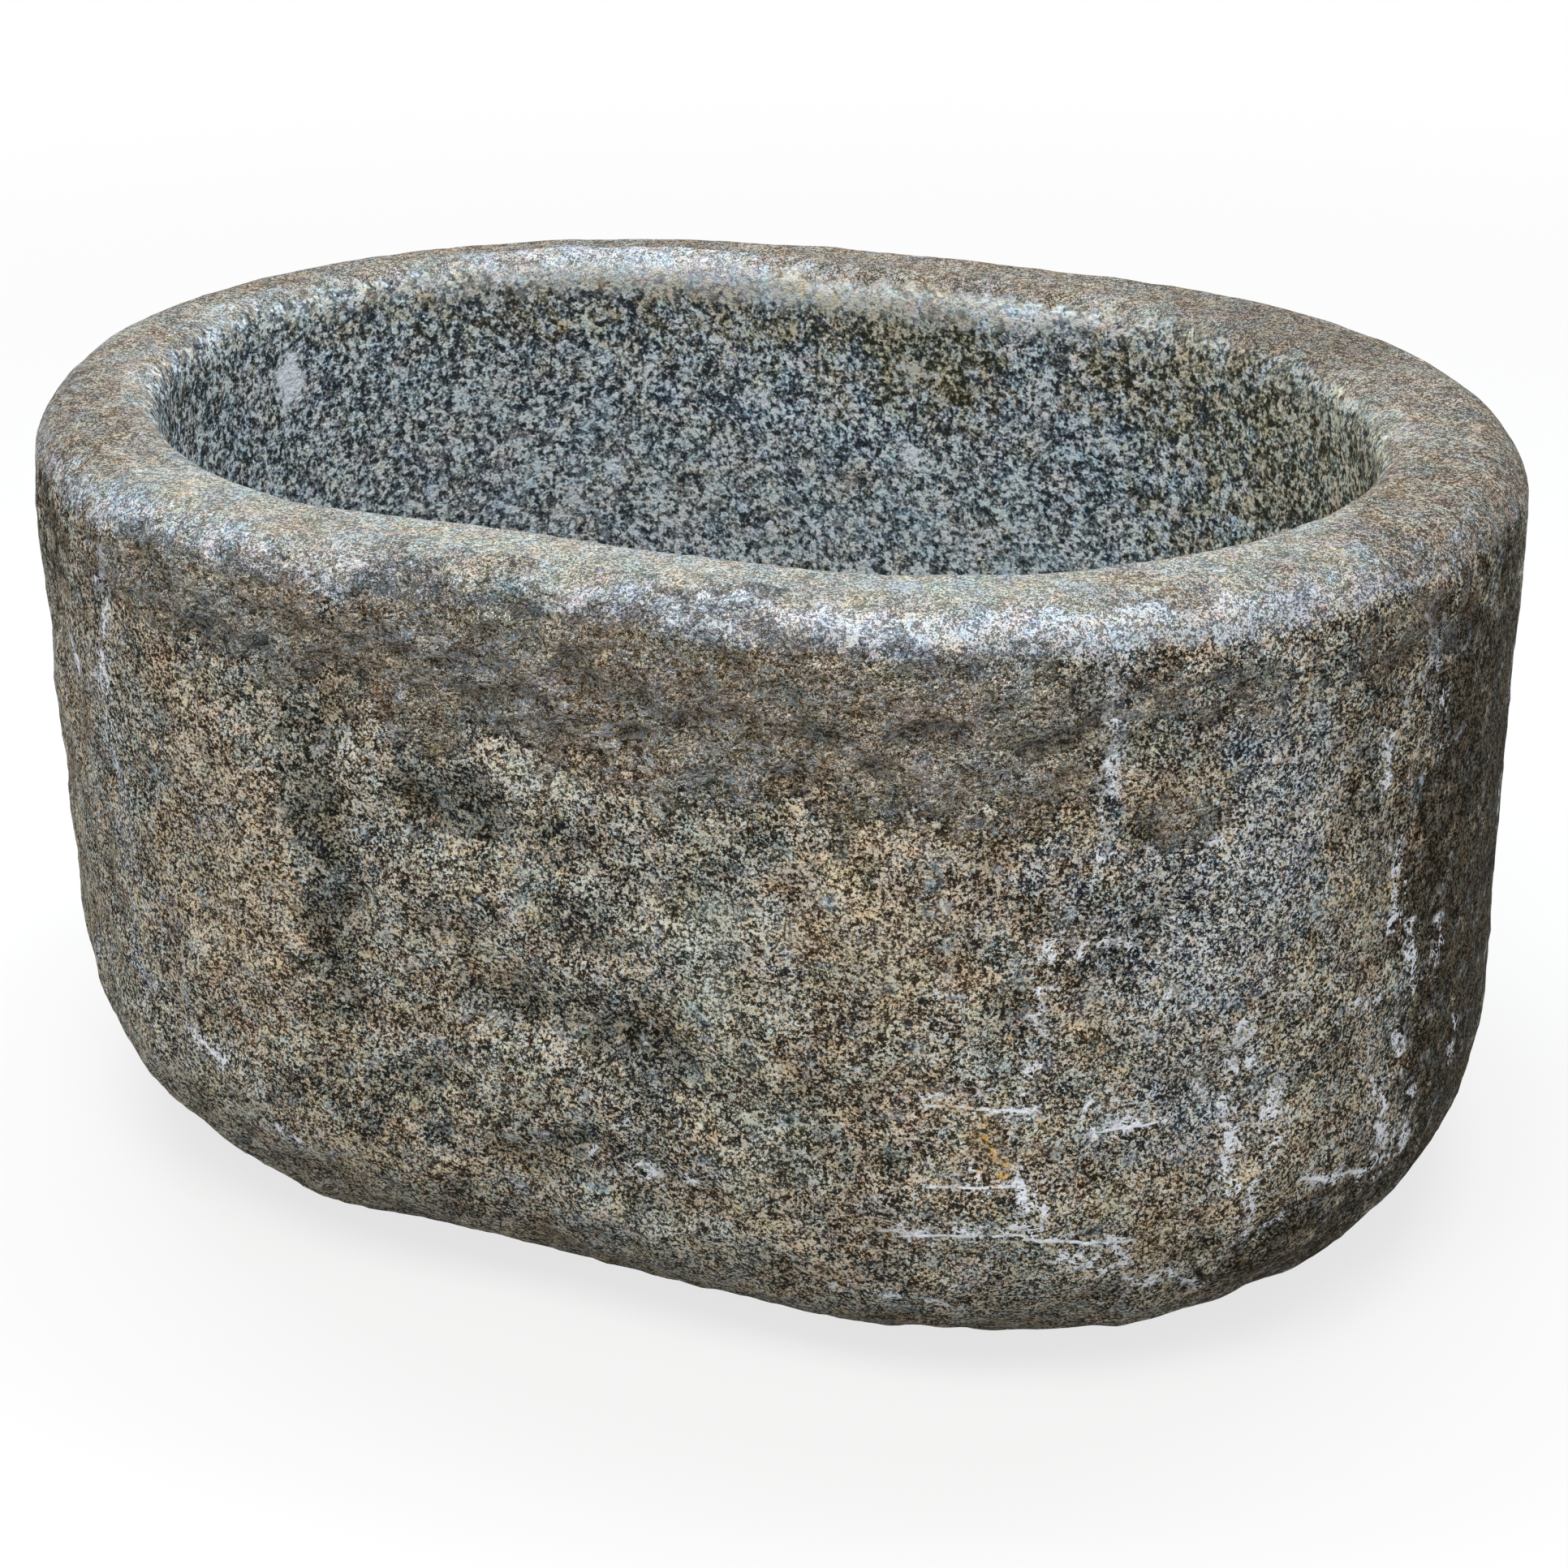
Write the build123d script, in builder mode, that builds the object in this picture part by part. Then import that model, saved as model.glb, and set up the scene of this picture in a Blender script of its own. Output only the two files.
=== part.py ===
"""Stone trough planter, hewn from one block of granite, in millimetres.

The trough stands on the plane Z = 0, with the origin in the middle of its
sole. X runs along its length, Y across it and +Z up out of the hollow.
"""

import os

from build123d import *

os.makedirs("parts", exist_ok=True)

# Block: straight along both sides, and fully round at both ends
block_length = 900.0
block_width = 646.0
block_height = 475.0
foot_round = 125.0  # large rounding that brings the walls in to the sole

# Hollow, an oval like the block's, set a little aside from its middle
end_wall = 78.0  # on the rim, from the block's side to the hollow's
side_wall = 78.0
floor_thickness = 115.0
floor_round = 45.0  # between the hollow's walls and its floor
hollow_shift = -6.0  # towards the left end
hollow_turn = -4.0  # degrees, askew to the block

# Both edges of the rim, worn round
outer_rim_round = 31.0
inner_rim_round = 18.0

# Drain hole drilled up through the floor
drain_diameter = 32.0
drain_x = 0.0
drain_y = 0.0

# Every cut runs this far past the face that it starts from
cut_overrun = 10.0

hollow_length = block_length - 2 * end_wall
hollow_width = block_width - 2 * side_wall
hollow_depth = block_height - floor_thickness

with BuildPart() as hollow:
    with BuildSketch(Plane.XY.offset(floor_thickness)):
        SlotOverall(hollow_length, hollow_width)
    extrude(amount=hollow_depth + cut_overrun)
    fillet(hollow.faces().sort_by(Axis.Z)[0].edges(), floor_round)

with BuildPart() as stone_trough:
    # The block, standing on its foot
    with BuildSketch():
        SlotOverall(block_length, block_width)
    extrude(amount=block_height)
    fillet(stone_trough.faces().sort_by(Axis.Z)[0].edges(), foot_round)
    fillet(stone_trough.faces().sort_by(Axis.Z)[-1].edges(), outer_rim_round)

    # The hollow, and the worn edge of its mouth
    with Locations(Location((hollow_shift, 0, 0), (0, 0, hollow_turn))):
        add(hollow.part, mode=Mode.SUBTRACT)
    rim = stone_trough.faces().filter_by(Axis.Z).sort_by(Axis.Z)[-1]
    fillet(rim.inner_wires()[0].edges(), inner_rim_round)

    # The drain hole
    with Locations((drain_x, drain_y, floor_thickness)):
        Hole(drain_diameter / 2, floor_thickness + cut_overrun)

stone_trough.part.label = "stone_trough"
export_step(stone_trough.part, "parts/stone_trough.step")
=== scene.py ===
"""Stone trough planter: one block of granite, hewn by hand, worn and weathered."""

import math

import bpy
import numpy as np
from mathutils import Matrix, Vector, noise


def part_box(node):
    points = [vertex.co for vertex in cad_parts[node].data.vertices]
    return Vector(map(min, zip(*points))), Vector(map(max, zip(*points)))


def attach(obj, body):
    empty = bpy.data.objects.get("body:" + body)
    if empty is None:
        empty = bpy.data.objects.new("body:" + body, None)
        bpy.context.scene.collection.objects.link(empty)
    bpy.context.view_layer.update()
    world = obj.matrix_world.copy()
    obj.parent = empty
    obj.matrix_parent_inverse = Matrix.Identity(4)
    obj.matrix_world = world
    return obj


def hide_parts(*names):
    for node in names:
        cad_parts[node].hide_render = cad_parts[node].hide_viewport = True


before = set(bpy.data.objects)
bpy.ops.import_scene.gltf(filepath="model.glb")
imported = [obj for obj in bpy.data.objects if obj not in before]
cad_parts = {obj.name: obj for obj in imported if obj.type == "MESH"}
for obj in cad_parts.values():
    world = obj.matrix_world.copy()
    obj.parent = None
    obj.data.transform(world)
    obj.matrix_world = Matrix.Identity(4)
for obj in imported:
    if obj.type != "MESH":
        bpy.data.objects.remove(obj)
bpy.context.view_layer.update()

low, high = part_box("stone_trough")

# Sizes of the block, in metres
half_length = (high.x - low.x) / 2
half_width = (high.y - low.y) / 2
height = high.z - low.z
wall = 0.078
floor_level = 0.115
drain_radius = 0.016

# Roundings of the block, from the sole up and into the hollow
foot_reach = 0.127
foot_rise = 0.142
outer_round = 0.032
inner_round = 0.019
floor_round = 0.045
hollow_lean = 0.005

# The hollow is cut a little askew to the block, and lies a little to its left
hollow_half_length = 0.372
hollow_half_width = 0.245
hollow_aside = -0.006
hollow_askew = math.radians(-4.0)

# How far the hand-cut outlines stray outward from true ovals, in millimetres. Here and
# below, directions are in degrees: -90 is the front's middle and 0 is the right end
rim_strays = (
    (-180, 4.5), (-160, -3), (-142, -1), (-120, 1), (-90, 2.5), (-60, -4), (-40, -6), (-20, 3), (0, 8),
    (20, 0), (42, -6), (65, -3), (100, 7), (120, 2), (140, -3), (160, 0),
)
mouth_strays = (
    (-180, 3.5), (-150, 0), (-120, 7), (-95, 3), (-60, -6), (-40, -5), (-20, 5), (0, 8.5),
    (20, -3), (42, -9), (62, -2), (100, 5), (120, 2), (140, -1.5), (160, 1),
)
sole_strays = (
    (-180, 0), (-150, 2), (-126, -8), (-104, -8), (-84, 3), (-60, 10), (-40, 21), (-20, 14),
    (0, 4), (20, -2), (60, 3), (100, -2), (140, -4),
)
foot_rounding_strays = ((-170, 5), (-90, -4), (-10, -8), (60, 0), (120, 4))  # percent
rim_dip = 0.001  # how far the rim sinks away from its highest point, in metres
rim_highest = 1.0  # where that point is, in radians

# How pale the rim is worn, by direction; then how polished its outer edge and the mouth's own
# edge are, and how strongly a pale painted sheen, a painted reflection, lies on them and on the
# hollow's lip
rim_paleness = (
    (-180, 0.35), (-140, 0.55), (-120, 0.95), (-100, 0.95), (-60, 0.95), (-36, 0.95), (-18, 0.45),
    (0, 0.20), (40, 0.05), (95, 0.00), (125, 0.40), (150, 0.12),
)
edge_polish_and_painted_sheen = (
    (-180, 0.2), (-150, 0.4), (-132, 0.8), (-122, 0.4), (-112, 0.8), (-100, 0.3), (-84, 0.6),
    (-66, 1.0), (-50, 1.0), (-36, 1.0), (-22, 0.4), (0, 0.2), (60, 0.3), (90, 0.5), (120, 0.3),
)
lip_painted_sheen = (
    (-180, 0.3), (-140, 0.1), (-100, 0.1), (-40, 0.1), (0, 0.3), (25, 0.45), (50, 0.3),
    (80, 1.0), (115, 1.3), (145, 0.5),
)
mouth_polish_and_painted_sheen = (
    (-180, 0.3), (-150, 0.2), (-120, 0), (80, 0), (96, 0.1), (110, 0.65), (130, 0.75), (150, 0.15),
)

# The mesh: how many points each ring has, and how many rings each stretch has
columns = 500
sole_rings = 8
foot_rings = 41
wall_rings = 57
outer_edge_rings = 12
rim_rings = 7
inner_edge_rings = 8
hollow_rings = 45
hollow_foot_rings = 8
floor_rings = 8
drain_rings = 3
sole_crowding = 0.8  # draws the sole's rings together towards its edge

noise_shift = 11.0  # moves the noise along to where it suits the block
ease_degrees = 31  # how far the knots set down by direction are eased
wall_fits = 6  # rounds in which the wall's thickness is fitted to the mouth's outline


# Shape of the block

def oval(shares):
    """Points of the block's true oval at shares of the way round, from the middle of its front."""
    straight = half_length - half_width
    arc = math.pi * half_width
    around = shares * (4 * straight + 2 * arc)
    stops = np.cumsum([straight, arc, 2 * straight, arc])
    right_turn = (around - stops[0]) / half_width - math.pi / 2
    left_turn = (around - stops[2]) / half_width + math.pi / 2
    stretch = [around < stop for stop in stops]
    x = np.select(stretch, [
        around,
        straight + half_width * np.cos(right_turn),
        straight - (around - stops[1]),
        -straight + half_width * np.cos(left_turn),
    ], -straight + (around - stops[3]))
    y = np.select(stretch, [
        np.full_like(around, -half_width),
        half_width * np.sin(right_turn),
        np.full_like(around, half_width),
        half_width * np.sin(left_turn),
    ], -half_width)
    return np.stack([x, y], 1)


def by_direction(strays):
    """A value for each column, eased between those set down by direction."""
    directions, values = np.array(sorted(strays)).T
    fine = np.arange(-180, 180)
    steps = np.interp(fine, directions, values, period=360)
    ease = np.hanning(ease_degrees)
    eased = np.convolve(np.tile(steps, 3), ease / ease.sum(), "same")[360:720]
    return np.interp(np.degrees(direction), fine, eased, period=360)


def outside_hollow(points):
    """How far points lie outside the hollow's true oval."""
    away = points - np.array([hollow_aside, 0.0])
    along = away[:, 0] * math.cos(hollow_askew) + away[:, 1] * math.sin(hollow_askew)
    across = away[:, 1] * math.cos(hollow_askew) - away[:, 0] * math.sin(hollow_askew)
    past_end = np.maximum(np.abs(along) - (hollow_half_length - hollow_half_width), 0)
    return np.hypot(past_end, across) - hollow_half_width


def outward(points):
    """Outward directions along a closed outline."""
    step = np.roll(points, -1, 0) - np.roll(points, 1, 0)
    sides = np.stack([step[:, 1], -step[:, 0]], 1)
    return sides / np.linalg.norm(sides, axis=1)[:, None]


def even_steps(count):
    """Even shares from 0 to just under 1."""
    return np.linspace(0, 1, count + 1)[:-1]


def quarter_turn(count):
    """Sines and cosines of angles from 0 to just under a quarter turn."""
    return [(math.sin(a), math.cos(a)) for a in np.linspace(0, math.pi / 2, count + 1)[:-1]]


shares = np.arange(columns) / columns
true_oval = oval(shares)
direction = np.arctan2(true_oval[:, 1], true_oval[:, 0])
rim_outline = true_oval + outward(true_oval) * by_direction(rim_strays)[:, None] / 1000
sole_outline = true_oval + outward(true_oval) * by_direction(sole_strays)[:, None] / 1000
out = outward(rim_outline)
rim_level = height - rim_dip * (1 - np.cos(direction - rim_highest))
foot_share = 1 + by_direction(foot_rounding_strays) / 100
wall_here = np.full(columns, wall)
for _ in range(wall_fits):
    off = outside_hollow(rim_outline - out * wall_here[:, None])
    wall_here += off - by_direction(mouth_strays) / 1000

rows = []  # every ring of the surface, from the drain along the sole, up, in and down
zones = []  # the stretch of the surface that each ring belongs to


def add_ring(zone, plan, level):
    rows.append(np.column_stack([plan, np.broadcast_to(level, (columns,))]))
    zones.append(zone)


def block_plan(level, inset):
    """The block's outline at a level, brought in by an inset."""
    share = (level / rim_level)[:, None]
    plan = sole_outline * (1 - share) + rim_outline * share
    return plan - out * np.broadcast_to(inset, (columns,))[:, None]


def hollow_plan(depth, inset):
    """The hollow's outline at a depth under the rim, brought in by an inset."""
    lean = hollow_lean * depth / (height - floor_level)
    return rim_outline - out * (wall_here + lean + inset)[:, None]


def build_rings():
    drain_ring = np.column_stack([np.cos(direction), np.sin(direction)]) * drain_radius
    reach, rise = foot_reach * foot_share, foot_rise * foot_share
    sole_edge = block_plan(np.zeros(columns), reach)
    for share in even_steps(sole_rings) ** sole_crowding:
        add_ring("sole", drain_ring * (1 - share) + sole_edge * share, 0.0)
    for sine, cosine in quarter_turn(foot_rings):
        level = rise * (1 - cosine)
        add_ring("foot", block_plan(level, reach * (1 - sine)), level)
    wall_top = rim_level - outer_round
    for share in even_steps(wall_rings):
        level = rise * (1 - share) + wall_top * share
        add_ring("wall", block_plan(level, 0.0), level)
    for sine, cosine in quarter_turn(outer_edge_rings):
        level = wall_top + outer_round * sine
        add_ring("outer_edge", block_plan(level, outer_round * (1 - cosine)), level)
    mouth = hollow_plan(0.0, -inner_round)
    shoulder = block_plan(rim_level, outer_round)
    for share in even_steps(rim_rings):
        add_ring("rim", shoulder * (1 - share) + mouth * share, rim_level)
    for sine, cosine in quarter_turn(inner_edge_rings):
        drop = inner_round * (1 - cosine)
        add_ring("inner_edge", hollow_plan(0.0, -inner_round * (1 - sine)), rim_level - drop)
    deep = floor_level + floor_round
    for share in even_steps(hollow_rings):
        level = (rim_level - inner_round) * (1 - share) + deep * share
        add_ring("hollow", hollow_plan(rim_level - level, 0.0), level)
    for sine, cosine in quarter_turn(hollow_foot_rings):
        inset = floor_round * (1 - cosine)
        add_ring("hollow", hollow_plan(rim_level - deep, inset), deep - floor_round * sine)
    floor_edge = hollow_plan(rim_level - deep, floor_round)
    for share in even_steps(floor_rings):
        add_ring("floor", floor_edge * (1 - share) + drain_ring * share, floor_level)
    for share in even_steps(drain_rings):
        add_ring("drain", drain_ring, floor_level * (1 - share))


build_rings()
surface = np.array(rows)  # ring, column, xyz
zones = np.array(zones)


# Relief that the hewing, the wear and the weather left

def smooth(share):
    """An S-shaped ramp from 0 to 1."""
    share = np.clip(share, 0, 1)
    return share * share * (3 - 2 * share)


def rough(points, lump, octaves, shift, flatten=(1.0, 1.0, 1.0)):
    """Smooth noise over points, about -1 to 1, with lumps of the given size."""
    scaled = points / lump * np.array(flatten) + shift
    return np.array([noise.fractal(p, 1.0, 2.0, octaves) for p in scaled.tolist()])


def crested(points, lump, shift, flatten):
    """Noise with sharp crests between rounded scoops, 0 to 1."""
    return 1 - np.abs(np.clip(rough(points, lump, 2, shift, flatten) * 1.6, -1, 1))


def surface_normals(grid):
    along = np.roll(grid, -1, 1) - np.roll(grid, 1, 1)
    up = np.roll(grid, -1, 0) - np.roll(grid, 1, 0)
    normals = np.cross(along, up)
    return normals / np.maximum(np.linalg.norm(normals, axis=2), 1e-12)[..., None]


perimeter = np.linalg.norm(np.roll(true_oval, -1, 0) - true_oval, axis=1).sum()
from_front = (shares + 0.5) % 1.0 * perimeter - perimeter / 2
bare = surface.reshape(-1, 3)  # the surface before its relief
bare_grid = surface
field = surface.shape[:2]
along = np.broadcast_to(from_front, field)  # metres round the block from its front's middle
across = surface[..., 0]
level = surface[..., 2]
ragged = rough(bare, 0.035, 3, 2 * noise_shift).reshape(field)


def within(*names):
    """1 on the named stretches of the surface, and 0 elsewhere."""
    return np.isin(zones, names)[:, None] * np.ones(columns)


def in_metres(rows):
    """Rows whose numbers, but for the last one, are written in millimetres."""
    return [(*(number / 1000 for number in row[:-1]), row[-1]) for row in rows]


def patches(spots, where, place=along, soft=0.5, ragged_share=0.35):
    """Soft, ragged-edged patches: each is place, level, reach, rise and strength."""
    shown = np.zeros(field)
    for middle, middle_level, reach, rise, strength in in_metres(spots):
        away = np.hypot((place - middle) / reach, (level - middle_level) / rise)
        away = away + ragged * ragged_share
        shown = np.maximum(shown, strength * smooth((1 + soft - away) / (2 * soft)))
    return shown * where


outside = within("foot", "wall", "outer_edge")
inside = within("hollow", "inner_edge", "floor")

# Where each stain or worn place lies on the outside, in millimetres: along from the front's
# middle, level, reach and rise, and then its strength. The first is split and flaking stone
flaky_patches = (
    (-60, 420, 90, 42, 1.0), (80, 412, 110, 46, 1.0), (210, 408, 90, 42, 1.0),
    (-170, 425, 70, 32, 0.9), (-250, 434, 80, 22, 0.7), (360, 425, 45, 22, 0.5),
    (60, 372, 50, 14, 0.6), (340, 355, 30, 15, 0.5), (500, 430, 60, 20, 0.5),
)
damp_patches = (
    (-152, 335, 18, 50, 0.9), (-145, 240, 20, 55, 0.85), (-66, 338, 40, 21, 1.0),
    (0, 320, 20, 16, 0.7), (-60, 275, 30, 16, 0.35), (18, 276, 28, 15, 0.8),
    (-20, 220, 42, 14, 0.7), (-106, 158, 28, 12, 0.7), (43, 203, 30, 24, 0.8),
    (18, 132, 52, 12, 0.7), (125, 340, 30, 10, 0.5), (300, 290, 25, 30, 0.5),
    (-110, 130, 90, 35, 0.4), (-930, 300, 50, 90, 0.8), (1120, 220, 90, 40, 0.8),
    (840, 360, 40, 60, 0.7), (-600, 200, 50, 70, 0.7),
)
cream_patches = (
    (-23, 358, 42, 11, 1.0), (-70, 225, 30, 12, 0.3), (-63, 272, 45, 26, 0.1),
    (335, 400, 35, 20, 0.6), (85, 265, 25, 70, 0.8), (120, 160, 35, 40, 0.7),
    (60, 85, 80, 20, 0.6), (-1060, 260, 100, 70, 0.8), (990, 150, 90, 50, 0.7),
)
tan_patches = (
    (185, 300, 55, 70, 0.9), (-215, 270, 55, 130, 0.8), (190, 200, 40, 40, 0.6),
    (-120, 110, 80, 30, 0.5), (400, 130, 50, 30, 0.5), (-230, 400, 40, 30, 0.6),
    (290, 230, 20, 30, 0.7), (-750, 280, 120, 100, 0.9), (1230, 320, 90, 60, 0.8),
    (900, 260, 70, 100, 0.7),
)
clean_patches = (
    (400, 360, 34, 70, 1.0), (350, 285, 65, 55, 0.9), (303, 400, 9, 75, 0.9),
    (280, 330, 25, 25, 0.6), (345, 190, 50, 40, 0.6), (510, 410, 12, 40, 0.7),
    (-310, 300, 14, 140, 0.6), (-480, 340, 30, 100, 0.7), (1010, 380, 40, 70, 0.8),
    (-1160, 340, 15, 110, 0.8), (780, 220, 30, 100, 0.6),
)
# Dark umber stains, and painted shade, mostly on the right end that faces away from the light
umber_and_shade_patches = (
    (585, 240, 90, 240, 0.9), (570, 120, 70, 130, 0.9), (660, 320, 100, 120, 0.5),
    (720, 140, 110, 100, 0.45), (545, 260, 60, 160, 0.8), (700, 250, 45, 50, 0.8),
    (680, 390, 35, 30, 0.7), (670, 70, 90, 50, 0.8), (460, 70, 100, 50, 0.7),
    (470, 330, 25, 80, 0.4), (445, 425, 40, 30, 0.4), (520, 420, 45, 50, 0.3),
    (-400, 420, 50, 40, 0.5), (-680, 100, 120, 60, 0.8), (1050, 430, 120, 20, 0.3),
)
# Painted glints: bright bluish-white chips of painted highlight on the split stone
glint_patches = (
    (-110, 442, 45, 14, 0.8), (-60, 420, 50, 22, 1.0), (10, 402, 40, 18, 0.9),
    (70, 378, 50, 14, 1.0), (-35, 378, 40, 12, 0.9), (160, 385, 60, 16, 0.6),
    (330, 415, 40, 20, 0.7), (-1080, 420, 80, 14, 0.8), (980, 430, 70, 12, 0.7),
)
# Where each stroke of lime starts and ends, millimetres along and level, and its strength
lime_strokes = (
    (271, 285, 266, 250, 1.0), (266, 250, 262, 222, 0.8), (340, 290, 335, 262, 0.9),
    (472, 372, 471, 342, 0.7), (487, 300, 486, 262, 0.9), (500, 246, 504, 214, 0.9),
    (532, 236, 530, 208, 0.7), (562, 160, 564, 142, 0.6), (455, 219, 467, 216, 1.0),
    (376, 221, 375, 207, 0.8), (386, 232, 385, 212, 0.9), (359, 196, 371, 181, 0.9),
    (371, 181, 376, 163, 0.9), (401, 184, 401, 170, 1.0), (401, 170, 394, 166, 1.0),
    (471, 180, 478, 156, 0.9), (478, 156, 484, 132, 0.9), (484, 132, 492, 100, 0.9),
    (496, 190, 497, 166, 0.7), (512, 140, 510, 108, 0.8), (428, 119, 480, 102, 0.7),
    (397, 150, 386, 128, 0.9), (386, 128, 386, 112, 0.9), (372, 147, 370, 135, 0.7),
    (254, 119, 310, 108, 0.9), (200, 117, 254, 119, 0.9), (286, 98, 300, 90, 0.9),
    (300, 90, 310, 94, 0.8), (306, 88, 326, 78, 0.9), (348, 78, 362, 66, 0.8),
    (384, 96, 402, 101, 0.7), (298, 190, 309, 187, 1.0), (303, 180, 332, 180, 0.7),
    (302, 432, 304, 408, 1.0), (303, 398, 304, 372, 0.8), (300, 365, 299, 345, 0.6),
    (505, 436, 510, 408, 0.7), (523, 380, 522, 352, 0.5), (332, 337, 362, 338, 0.5),
    (294, 288, 322, 289, 0.6), (213, 201, 256, 195, 1.0), (216, 150, 246, 149, 1.0),
    (230, 193, 244, 184, 1.0), (244, 184, 235, 174, 0.9), (238, 170, 249, 161, 1.0),
    (249, 161, 244, 153, 0.7), (262, 142, 270, 120, 0.8), (160, 70, 220, 60, 0.5),
    (18, 128, 68, 126, 0.7), (-68, 203, -40, 205, 0.15), (-190, 97, -185, 95, 0.9),
    (90, 395, 94, 392, 0.9), (-312, 365, -310, 300, 0.6), (-289, 160, -239, 135, 0.6),
    (-300, 433, -306, 395, 0.5),
)
# Straight, thin scrapes that hold lime, written down like the strokes
scrapes = (
    (190, 114, 262, 118.5, 1.0), (262, 116.5, 312, 108.5, 0.8), (216, 147, 247, 148.5, 0.9),
    (213, 196, 256, 194.5, 1.0), (300, 180, 326, 180, 0.5), (428, 119, 470, 106, 0.4),
)
rust_patches = (
    (240, 180, 12, 12, 1.0), (246, 161, 9, 11, 0.9), (222, 196, 8, 5, 0.7),
    (-277, 268, 12, 12, 0.5), (306, 222, 10, 8, 0.5), (-860, 240, 12, 20, 0.7),
)
stains = {
    "flaky": flaky_patches, "damp": damp_patches, "cream": cream_patches, "tan": tan_patches,
    "clean": clean_patches, "umber_and_shade": umber_and_shade_patches, "rust": rust_patches,
}
hollow_bruises = ((-751, 419, 13, 16, 1.0), (-1040, 321, 6, 6, 0.8), (1248, 355, 10, 8, 0.6))
dents = (  # the larger scoops left by the hewing, with their depth in metres as strength
    (-130, 395, 80, 30, 0.0055), (-20, 395, 70, 30, 0.0045), (100, 390, 70, 30, 0.0055),
    (230, 400, 60, 25, 0.0035), (-66, 330, 40, 20, 0.0045), (-140, 270, 30, 80, 0.004),
    (-20, 220, 60, 30, 0.005), (45, 195, 40, 30, 0.005), (-110, 150, 40, 20, 0.0035),
    (20, 120, 70, 20, 0.005), (300, 280, 40, 50, 0.0025),
)
# Darkens the rim's inner edge at the right back
rim_darkening = ((950, 470, 110, 30, 0.55),)

# Inside the hollow and on its lip, with millimetres across from the middle in place of along
warm_spots = (
    (-160, 460, 200, 45, 0.7), (20, 440, 70, 60, 0.9), (220, 440, 120, 60, 0.7),
    (360, 380, 140, 160, 1.0),
)
paler_spots = ((-200, 300, 160, 60, 0.3), (0, 290, 220, 50, 0.3))

flaky = patches(flaky_patches, outside)


stroke_seed = 11
stroke_starts = np.linspace(0.66, 2.16, 20)  # metres along, from the right end to the left one


def random_strokes():
    """More strokes of lime, round the back and the ends that face away."""
    draw = np.random.default_rng(stroke_seed)
    strokes = []
    for start in stroke_starts:
        start = (start + draw.uniform(-0.03, 0.03) + perimeter / 2) % perimeter - perimeter / 2
        top = draw.uniform(0.12, 0.44)
        drift = draw.uniform(-0.012, 0.012)
        fall = draw.uniform(0.01, 0.06)
        strokes.append((start, top, start + drift, top - fall, draw.uniform(0.4, 0.9)))
    return strokes


def stroke_maps(strokes, reach):
    """Signed distance of each point from the nearest stroke's line, and how strongly it shows."""
    nearest = np.full(field, 1.0)
    signed = np.full(field, 1.0)
    shown = np.zeros(field)
    for start, start_level, end, end_level, strength in strokes:
        run, climb = end - start, end_level - start_level
        length = math.hypot(run, climb)
        past, over = along - start, level - start_level
        share = np.clip((past * run + over * climb) / length ** 2, 0, 1)
        away = np.hypot(past - share * run, over - share * climb)
        here = away < nearest
        signed = np.where(here, (past * climb - over * run) / length, signed)
        shown = np.where(here, strength * smooth(1.6 * (1 - away / reach)), shown)
        nearest = np.minimum(nearest, away)
    return signed, shown * outside


worn_rim = within("rim", "inner_edge", "outer_edge")


# Lumps of each size: size, octaves, seed, and heights outside, on the worn rim and inside
lump_sizes = (
    (0.130, 3, 1, 0.0046, 0.0018, 0.0016),
    (0.042, 2, 3, 0.0027, 0.0009, 0.0007),
    (0.011, 2, 7, 0.0008, 0.0003, 0.0004),
)
calmed_size = 0.02  # larger lumps than this are lower on the two ends
calming = 0.7
scoop_depth = 0.0085  # of the scoops that split flakes leave under the rim
chip_height = 0.0026


def relief():
    """How far each point of the surface is raised, in metres."""
    from_middle = np.abs(along)
    calm = 1 - calming * smooth((from_middle - 0.40) / 0.15) * smooth((0.95 - from_middle) / 0.15)
    raised = np.zeros(field)
    for size, octaves, seed, outer, worn, inner in lump_sizes:
        lumps = rough(bare, size, octaves, seed * noise_shift).reshape(field)
        outer_here = outer * calm if size > calmed_size else outer
        raised += lumps * np.where(inside > 0, inner, np.where(worn_rim > 0, worn, outer_here))
    scoops = crested(bare, 0.03, 5 * noise_shift, (1.0, 1.0, 1.6)).reshape(field)
    chips = rough(bare, 0.016, 2, 13 * noise_shift, (1.0, 1.0, 1.5)).reshape(field)
    raised += ((scoops - 0.6) * scoop_depth + chips * chip_height) * flaky
    for dent in dents:
        raised -= patches((dent,), outside, soft=0.8)
    return raised * (1 - within("sole", "drain"))


raised = relief()
surface = surface + surface_normals(surface) * raised[..., None]
surface[..., 2] = np.maximum(surface[..., 2], 0.0)


def first_ring(name):
    return int(np.argmax(zones == name))


def block_mesh():
    ring_count = len(surface)
    ring, column = np.meshgrid(np.arange(ring_count), np.arange(columns), indexing="ij")
    next_ring = (ring + 1) % ring_count
    next_column = (column + 1) % columns
    corners = [
        ring * columns + column,
        ring * columns + next_column,
        next_ring * columns + next_column,
        next_ring * columns + column,
    ]
    faces = np.stack(corners, -1).reshape(-1, 4)
    mesh = bpy.data.meshes.new("granite_block")
    mesh.from_pydata(surface.reshape(-1, 3).tolist(), [], faces.tolist())
    mesh.shade_smooth()
    return mesh


def paint(mesh, name, values):
    """Keeps a map of one kind of weathering on the surface, a value for each point."""
    layer = mesh.attributes.new(name, "FLOAT", "POINT")
    layer.data.foreach_set("value", np.asarray(values, dtype=np.float32).reshape(-1))


def above(start, reach):
    """0 up to a level, then rising to 1 within a reach."""
    return smooth((level - start) / reach)


def below(end, reach):
    """0 down to a level, then rising to 1 within a reach."""
    return smooth((end - level) / reach)


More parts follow.
